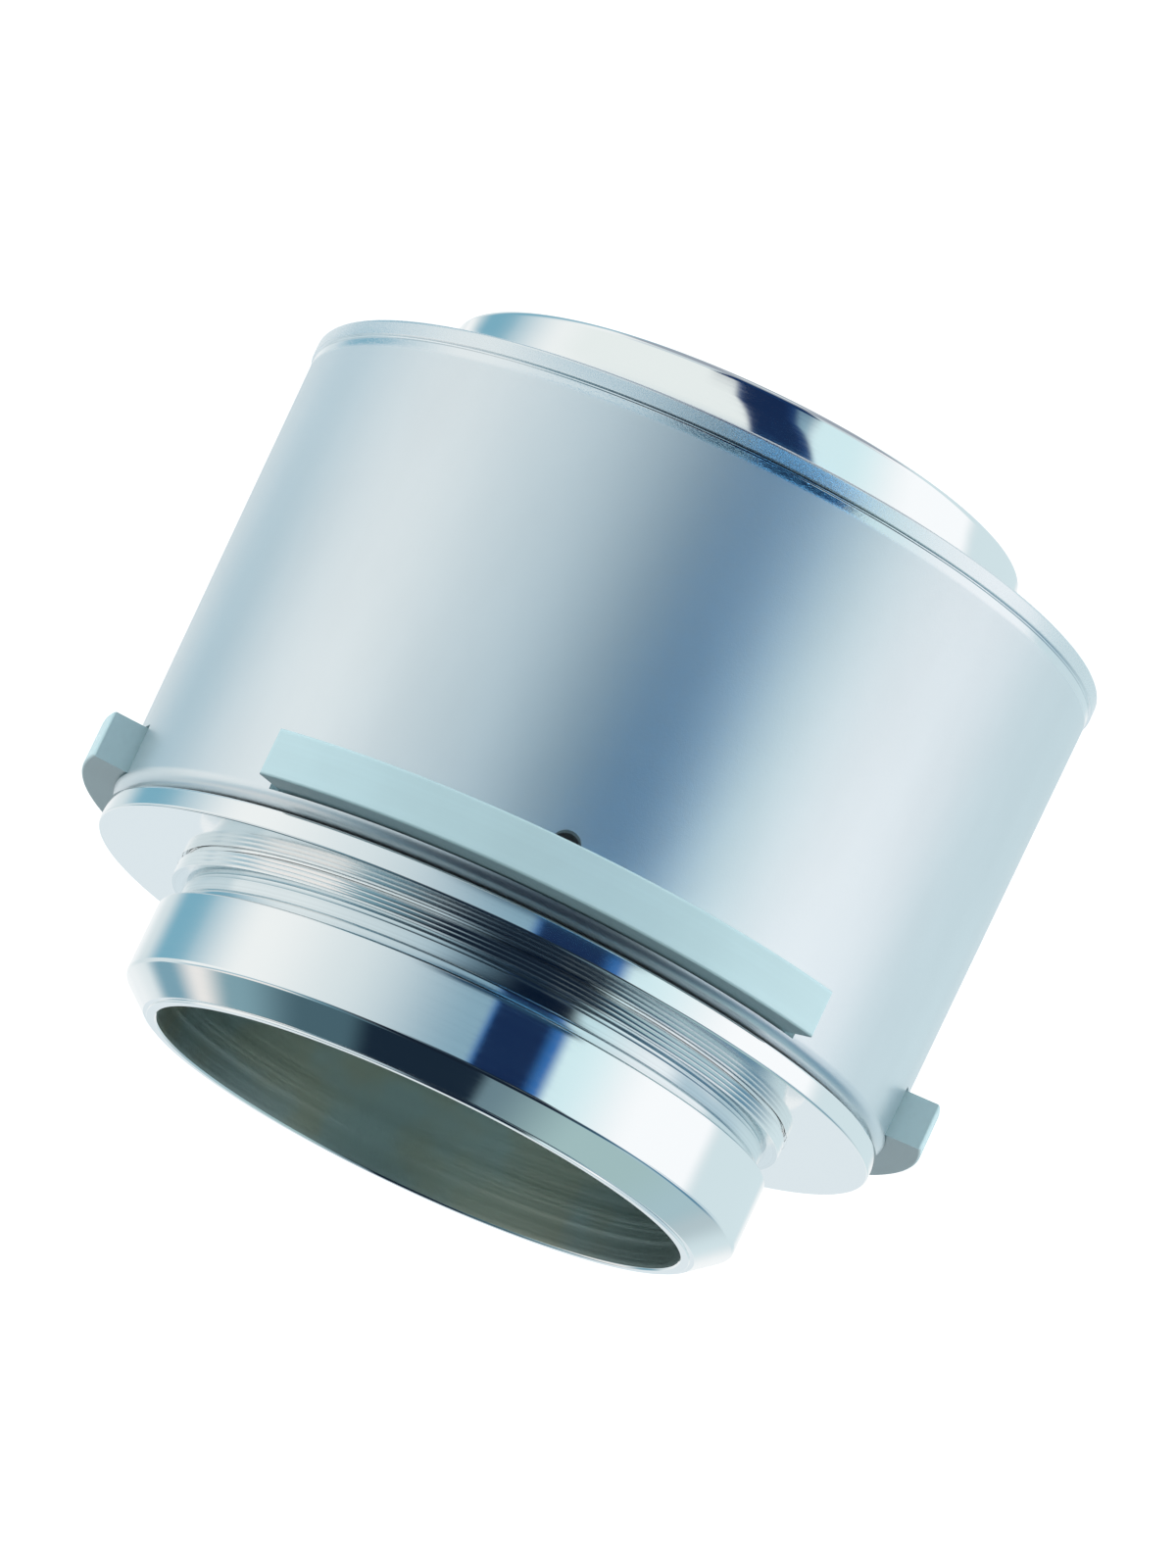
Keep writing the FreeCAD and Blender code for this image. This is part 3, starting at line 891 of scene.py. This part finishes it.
@dataclass
class StopRing(Piece):
    """Ring with a snap bead and three lugs that stand out through the sleeve's windows."""

    node: ClassVar[str] = "stop_ring"
    group: ClassVar[Group] = Group.SLEEVE
    slot: ClassVar[Slot] = Slot.RING

    bore: float = 46.85
    outside: float = 56.5
    bottom: float = 73.2
    top: float = 80.2
    bead_tip: float = 45.65
    bead: tuple[float, float, float, float] = (75.7, 76.1, 77.3, 77.7)
    lug: float = 64.0
    lug_top: float = 80.1
    lug_half_angle: float = 40.0
    lug_edge: float = 0.4
    lug_edge_steps: int = 4
    lug_edge_angle: float = 45.0
    steps: int = 720

    def corners(self) -> list[Corner]:
        """Outline of the ring's section.

        Returns:
            The corners, with the bead on the inside.
        """
        return [
            Corner(self.bore, self.bottom, 0.3, 2),
            Corner(self.outside, self.bottom),
            Corner(self.outside, self.top),
            Corner(self.bore, self.top, 0.3, 2),
            Corner(self.bore, self.bead[3]),
            Corner(self.bead_tip, self.bead[2], 0.15, 2),
            Corner(self.bead_tip, self.bead[1], 0.15, 2),
            Corner(self.bore, self.bead[0]),
        ]

    def raise_lug(self, mesh: Mesh, direction: float) -> None:
        """Draws one lug out of the ring's outside.

        Args:
            mesh: Mesh of the turned ring.
            direction: Direction of the lug's middle in degrees.
        """
        levels, wall = (self.bottom, self.lug_top), self.outside - WALL_SLACK
        foot = find_patch(mesh, direction, self.lug_half_angle, levels, wall)
        drawn = bmesh.ops.extrude_face_region(mesh, geom=foot)["geom"]
        points = [item for item in drawn if isinstance(item, bmesh.types.BMVert)]
        growth = self.lug / self.outside
        bmesh.ops.scale(mesh, vec=(growth, growth, 1.0), verts=points)

    def break_edges(self, mesh: Mesh) -> None:
        """Rounds the outer edges of every lug.

        Args:
            mesh: Mesh of the ring with its lugs.
        """
        edges = []
        for edge in mesh.edges:
            outermost = all(reach(point.co) > self.lug - WALL_SLACK for point in edge.verts)
            if outermost and edge.calc_face_angle(0.0) > math.radians(self.lug_edge_angle):
                edges.append(edge)
        round_off(mesh, edges, self.lug_edge * MM, self.lug_edge_steps, "EDGES")

    def build(self, finishes: FinishSet) -> bpy.types.Object:
        """Turns the ring and draws out its lugs.

        Args:
            finishes: The part's finishes.

        Returns:
            The dressed ring.
        """
        mesh = turn_outline(self.corners(), [self.lug_top], self.steps)
        for direction in LUG_DIRECTIONS:
            self.raise_lug(mesh, direction)
        self.break_edges(mesh)
        bmesh.ops.recalc_face_normals(mesh, faces=mesh.faces[:])
        return self.finish_mesh(mesh, [finishes.plastic.make()])


@dataclass
class SealRing(Piece):
    """Round rubber cord in a groove of the nozzle.

    Args:
        node: Node that the seal stands for.
        height: Height of the cord's middle, in millimetres.
        middle: Radius of the ring to the cord's middle, in millimetres.
        cord: Thickness of the cord, in millimetres.
        facets: Number of facets round the cord.
        steps: Number of facets round the flow axis.
    """

    group: ClassVar[Group] = Group.FITTING
    slot: ClassVar[Slot] = Slot.SEAL

    node: str
    height: float
    middle: float = 43.55
    cord: float = 4.0
    facets: int = 24
    steps: int = 120

    def build(self, material: bpy.types.Material) -> bpy.types.Object:
        """Turns the cord.

        Args:
            material: The rubber's material.

        Returns:
            The dressed seal.
        """
        mesh = bmesh.new()
        bmesh.ops.create_circle(mesh, segments=self.facets, radius=self.cord / 2 * MM)
        upright = Matrix.Rotation(math.radians(90), 3, "X")
        bmesh.ops.rotate(mesh, verts=mesh.verts[:], matrix=upright)
        bmesh.ops.translate(mesh, verts=mesh.verts[:], vec=(self.middle * MM, 0, self.height * MM))
        spin_profile(mesh, self.steps)
        return self.finish_mesh(mesh, [material])


# Studio


@dataclass(frozen=True)
class Card:
    """A panel of the studio that only polished surfaces see, with angles in degrees.

    Args:
        name: Plain name of the panel.
        colour: Linear colour.
        left: Bearing of its left edge, 0 to the front and positive to the picture's right.
        right: Bearing of its right edge.
        left_soft: Width of the left edge's fade.
        right_soft: Width of the right edge's fade.
        bow: Bearing that both edges bow per square degree of height.
        bottom: Height angle of its lower edge.
        top: Height angle of its upper edge.
        soft: Width of the fade at the lower and upper edge.
    """

    name: str
    colour: Colour
    left: float
    right: float
    left_soft: float
    right_soft: float
    bow: float = 0.0
    bottom: float = -100.0
    top: float = 100.0
    soft: float = 10.0


@dataclass(frozen=True)
class Ceiling:
    """A strip of the ceiling that only polished surfaces see; each one starts where the last one ends.

    Args:
        name: Plain name of the strip.
        colour: Linear colour.
        start: Edge towards the picture's right, as a share of the ceiling's height.
        soft: Width of the fade at that edge.
    """

    name: str
    colour: Colour
    start: float
    soft: float


@dataclass(frozen=True)
class Lamp:
    """A soft round lamp level with the part, which mirrors don't see.

    Args:
        name: Name of the lamp.
        bearing: Bearing in degrees, 0 to the front and positive to the picture's right.
        power: Power in watts.
    """

    name: str
    bearing: float
    power: float


@dataclass(frozen=True)
class Studio:
    """Everything round the part: panels, soft light from all sides, lamps and floor.

    Args:
        view_height: Height angle that upright walls mirror, in degrees. Bows are counted from it.
        wall: Colour between the panels.
        cards: Panels, each painted over the ones before it.
        ceiling_start: Colour before the ceiling's strips.
        ceiling: The ceiling's strips.
        ceiling_edge: Height angle of its edge and width of the fade, in degrees.
        ceiling_front: Depth of its end towards the camera and width of the fade.
        flattest: Lowest upward share that the strips are counted with.
        soft_light: Colour of the soft light.
        soft_level: Its strength from the side and from above.
        soft_fade: Upward share from which it is as strong as from above.
        lamps: The lamps; lamp_size, lamp_distance and lamp_height are in metres.
        floor_size: Width of the floor, in metres.
        floor_paint: Darkest and lightest colour of the floor.
        floor_glow: Light that the floor gives off.
    """

    view_height: float = -11.0
    wall: Colour = (0.68, 0.77, 0.80)
    cards: tuple[Card, ...] = (
        Card("left_fade", (0.25, 0.41, 0.51), -24, 20, 50, 10),
        Card("left_light", (0.90, 0.93, 0.93), -118, -61, 8, 48),
        Card("right_fade", (0.67, 0.87, 0.91), 20, 58, 6, 30),
        Card("low_light", (0.84, 0.89, 0.88), -84, 6, 20, 8, bottom=-35, top=-21, soft=4),
        Card("right_light", (1.0, 1.02, 1.04), 52, 104, 36, 14),
        Card("right_wall", (0.66, 0.79, 0.83), 104, 162, 12, 16),
        Card("right_wall_top", (0.46, 0.57, 0.61), 104, 152, 12, 16, bottom=18, soft=16),
        Card("far_light", (0.92, 0.95, 0.96), -181, -160, 0.5, 20),
        Card("far_light_right", (0.92, 0.95, 0.96), 162, 181, 12, 0.5),
        Card("far_wall", (0.74, 0.82, 0.86), -181, -168, 0.5, 8, bottom=4),
        Card("far_wall_right", (0.74, 0.82, 0.86), 168, 181, 8, 0.5, bottom=4),
        Card("left_flag", (0.20, 0.43, 0.55), -143, -108, 18, 44, bow=-0.012, top=-8, soft=4),
        Card("left_top_flag", (0.20, 0.37, 0.46), -158, -139, 8, 6, bottom=19, top=36, soft=8),
        Card("left_slit", (1.0, 1.0, 1.0), -158, -104, 10, 10, bottom=-18, top=-14.5, soft=2),
        Card("left_shade", (0.22, 0.42, 0.52), -128, -40, 30, 30, bottom=22, soft=16),
        Card("right_shade", (0.09, 0.23, 0.35), 46, 130, 30, 30, bottom=14, soft=16),
        Card("front_shade", (0.008, 0.016, 0.03), -58, 66, 60, 50, bottom=21, soft=10),
        Card("front_shade_low", (0.002, 0.007, 0.022), -16, 39, 30, 12, bottom=4, top=20, soft=6),
        Card("low_shade", (0.60, 0.68, 0.72), -70, 60, 30, 30, top=-40, soft=6),
        Card("low_end", (0.34, 0.38, 0.44), -181, 181, 0.5, 0.5, bottom=-82, top=-60, soft=8),
        Card("low_flare", (0.010, 0.035, 0.11), -25, 22, 6, 4, bottom=-66, top=-30.5, soft=2),
        Card("nose_flag", (0.015, 0.050, 0.16), 4, 30, 3, 3, bow=-0.05, bottom=-36, top=-18, soft=2),
        Card("neck_shade", (0.50, 0.64, 0.72), 78, 124, 14, 20, bottom=-5, top=5, soft=5),
        Card("flag_edge", (0.035, 0.15, 0.42), 3, 30.5, 4, 6, bow=-0.044, bottom=-19, top=-4, soft=6),
        Card("flag", (0.0085, 0.024, 0.078), 4.4, 25, 3, 6, bow=-0.044, bottom=-37, top=-4, soft=6),
        Card("neck_flag", (0.003, 0.009, 0.024), -9, 32, 40, 8, bottom=-5, top=9, soft=6),
        Card("left_blue_slit", (0.09, 0.33, 0.50), -64, 0, 30, 6, bottom=-20, top=-15.5, soft=2),
        Card("collar_flag", (0.02, 0.055, 0.10), -20, 34, 24, 10, bottom=-16.2, top=-12.4, soft=0.8),
        Card("front_slit", (0.38, 1.3, 2.4), 0, 34, 6, 8, bottom=-20, top=-16.4, soft=2),
    )
    ceiling_start: Colour = (0.39, 0.55, 0.60)
    ceiling: tuple[Ceiling, ...] = (
        Ceiling("ceiling_right", (0.37, 0.53, 0.54), -0.8, 0.3),
        Ceiling("ceiling_right_fade", (0.15, 0.24, 0.28), -0.30, 0.32),
        Ceiling("ceiling_dark", (0.0098, 0.0215, 0.039), -0.11, 0.05),
        Ceiling("ceiling_middle", (0.065, 0.128, 0.16), 0.31, 0.10),
        Ceiling("ceiling_left_fade", (0.21, 0.36, 0.42), 0.62, 0.26),
        Ceiling("ceiling_left", (0.86, 0.84, 0.82), 0.84, 0.14),
    )
    ceiling_edge: tuple[float, float] = (31.0, 9.0)
    ceiling_front: tuple[float, float] = (-0.22, 0.16)
    flattest: float = 0.05
    soft_light: Colour = (0.76, 0.96, 1.0)
    soft_level: tuple[float, float] = (0.64, 0.18)
    soft_fade: float = 0.75
    lamps: tuple[Lamp, ...] = (Lamp("left_lamp", -80.0, 20.0), Lamp("right_lamp", 78.0, 22.0))
    lamp_light: Colour = (1.0, 0.88, 0.84)
    lamp_size: float = 0.8
    lamp_distance: float = 1.4
    lamp_height: float = 0.06
    floor_size: float = 6.0
    floor_paint: tuple[Colour, Colour] = ((0.88, 0.88, 0.88), (0.9, 0.9, 0.9))
    floor_glow: float = 0.9

    def paint_cards(self, sheet: NodeSheet, split: Node) -> Socket:
        """Colour of the panels in every direction.

        Args:
            sheet: Sheet of the world's nodes.
            split: Node that splits the direction into its three shares.

        Returns:
            The socket with the colour.
        """
        across, along, up = (split.outputs[axis] for axis in ("X", "Y", "Z"))
        right, front = (sheet.math("MULTIPLY", share, -1.0) for share in (across, along))
        bearing = sheet.math("MULTIPLY", sheet.math("ARCTAN2", right, front), DEGREES)
        height = sheet.math("MULTIPLY", sheet.math("ARCSINE", up), DEGREES)
        square = sheet.math("POWER", sheet.math("SUBTRACT", height, self.view_height), 2.0)
        colour = self.wall
        for card in self.cards:
            place = sheet.math("SUBTRACT", bearing, sheet.math("MULTIPLY", square, card.bow))
            enter = sheet.soft_edge(place, card.left, card.left_soft)
            leave = sheet.soft_edge(place, card.right, -card.right_soft)
            rise = sheet.soft_edge(height, card.bottom, card.soft)
            fall = sheet.soft_edge(height, card.top, -card.soft)
            wide = sheet.math("MULTIPLY", enter, leave)
            high = sheet.math("MULTIPLY", rise, fall)
            colour = sheet.blend(sheet.math("MULTIPLY", wide, high), colour, card.colour)
        sideways = sheet.math("DIVIDE", across, sheet.math("MAXIMUM", up, self.flattest))
        ceiling = self.ceiling_start
        for strip in self.ceiling:
            ceiling = sheet.blend(sheet.soft_edge(sideways, strip.start, strip.soft), ceiling, strip.colour)
        raised = sheet.soft_edge(height, *self.ceiling_edge)
        behind = sheet.soft_edge(along, *self.ceiling_front)
        return sheet.blend(sheet.math("MULTIPLY", raised, behind), colour, ceiling)

    def make_world(self) -> None:
        """Builds the world: white to the camera, panels to mirrors and soft light to everything else."""
        world = bpy.data.worlds.new("studio")
        world.use_nodes = True
        world.cycles.sampling_method = "NONE"
        bpy.context.scene.world = world
        sheet = NodeSheet(world.node_tree)
        direction = sheet.add("ShaderNodeTexCoord").outputs["Generated"]
        split = sheet.add("ShaderNodeSeparateXYZ", {"Vector": direction})
        panels = sheet.add("ShaderNodeBackground", {"Color": self.paint_cards(sheet, split)})
        level = sheet.step(split.outputs["Z"], 0.0, self.soft_fade, *self.soft_level)
        soft = sheet.add("ShaderNodeBackground", {"Color": (*self.soft_light, 1.0), "Strength": level})
        white = sheet.add("ShaderNodeBackground", {"Color": WHITE, "Strength": 1.0})
        path = sheet.add("ShaderNodeLightPath")
        seen = {0: path.outputs["Is Glossy Ray"], 1: soft.outputs[0], 2: panels.outputs[0]}
        lit = sheet.add("ShaderNodeMixShader", seen)
        shown = {0: path.outputs["Is Camera Ray"], 1: lit.outputs[0], 2: white.outputs[0]}
        whole = sheet.add("ShaderNodeMixShader", shown)
        sheet.add("ShaderNodeOutputWorld", {"Surface": whole.outputs[0]})

    def make_floor(self) -> None:
        """Lays a plain white floor that keeps the part's soft shadow."""
        mesh = bmesh.new()
        bmesh.ops.create_grid(mesh, x_segments=1, y_segments=1, size=self.floor_size / 2)
        data = bpy.data.meshes.new("floor")
        mesh.to_mesh(data)
        mesh.free()
        material = bpy.data.materials.new("white_floor")
        material.use_nodes = True
        sheet = NodeSheet(material.node_tree)
        paint = sheet.noise(sheet.place(), 8.0)
        colour = sheet.blend(sheet.step(paint, 0.3, 0.7), *self.floor_paint)
        matt = sheet.add("ShaderNodeBsdfDiffuse", {"Color": colour})
        glow = sheet.add("ShaderNodeEmission", {"Color": WHITE, "Strength": self.floor_glow})
        both = sheet.add("ShaderNodeAddShader", {0: matt.outputs[0], 1: glow.outputs[0]})
        sheet.add("ShaderNodeOutputMaterial", {"Surface": both.outputs[0]})
        data.materials.append(material)
        floor = bpy.data.objects.new("floor", data)
        floor.visible_glossy = False
        bpy.context.scene.collection.objects.link(floor)

    def make_lamp(self, lamp: Lamp) -> None:
        """Hangs one lamp that points at the flow axis.

        Args:
            lamp: Where the lamp hangs and how strong it is.
        """
        data = bpy.data.lights.new(lamp.name, "AREA")
        data.shape = "DISK"
        data.size = self.lamp_size
        data.energy = lamp.power
        data.color = self.lamp_light
        holder = bpy.data.objects.new(lamp.name, data)
        turn = math.radians(lamp.bearing)
        way = Vector((-math.sin(turn), -math.cos(turn), 0.0))
        place = Vector((0, 0, self.lamp_height)) + way * self.lamp_distance
        aim = way.to_track_quat("Z", "Y").to_matrix().to_4x4()
        holder.matrix_world = Matrix.Translation(place) @ aim
        holder.visible_glossy = False
        bpy.context.scene.collection.objects.link(holder)

    def build(self) -> None:
        """Sets up the whole studio."""
        self.make_world()
        self.make_floor()
        for lamp in self.lamps:
            self.make_lamp(lamp)


@dataclass(frozen=True)
class Viewpoint:
    """Camera of the reference picture, with lengths in millimetres.

    Args:
        tilt: How far the camera looks down on the mouth, in radians.
        roll: How far the picture is rolled from upside down, in radians.
        across: Shift of the picture to the right.
        down: Shift of the picture downwards.
        distance: Distance from the part.
        target_height: Height that the shifts are measured from.
        swing: Turn of the whole camera round the flow axis, in degrees.
        lens: Focal length.
        sensor: Width of the sensor.
        seen: Nearest and farthest distance that the camera shows, in metres.
    """

    tilt: float = 0.2139
    roll: float = 0.44181
    across: float = -14.760
    down: float = 30.351
    distance: float = 1400.0
    target_height: float = 85.9
    swing: float = 1.15
    lens: float = 232.28
    sensor: float = 36.0
    seen: tuple[float, float] = (0.05, 50.0)

    def build(self) -> None:
        """Sets up the camera and makes it the scene's own."""
        sin_tilt, cos_tilt = math.sin(self.tilt), math.cos(self.tilt)
        sin_roll, cos_roll = math.sin(self.roll), math.cos(self.roll)
        right = Vector((-cos_roll, -sin_tilt * sin_roll, -sin_roll * cos_tilt))
        below = Vector((-sin_roll, sin_tilt * cos_roll, cos_roll * cos_tilt))
        forward = Vector((0.0, cos_tilt, -sin_tilt))
        offset = right * self.across + below * self.down + forward * self.distance
        place = (Vector((0.0, 0.0, self.target_height)) - offset) * MM
        pose = Matrix((right, -below, -forward)).transposed().to_4x4()
        pose.translation = place
        data = bpy.data.cameras.new("camera")
        data.sensor_width = self.sensor
        data.lens = self.lens
        data.clip_start, data.clip_end = self.seen
        camera = bpy.data.objects.new("camera", data)
        camera.matrix_world = Matrix.Rotation(math.radians(self.swing), 4, "Z") @ pose
        bpy.context.scene.collection.objects.link(camera)
        bpy.context.scene.camera = camera


def main() -> None:
    """Builds every piece, then the studio and the camera."""
    logging.basicConfig(level=logging.INFO, format="%(message)s")
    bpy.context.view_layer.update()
    finishes = FinishSet()
    body = AdapterBody()
    body.build(finishes)
    PressSleeve().build(finishes)
    StopRing().build(finishes)
    rubber = finishes.rubber.make()
    for node, height in zip(("outer_seal_ring", "inner_seal_ring"), body.seal_heights):
        SealRing(node, height).build(rubber)
    Studio().build()
    Viewpoint().build()
    bpy.context.scene.view_settings.view_transform = "Standard"


if __name__ == "__main__":
    main()
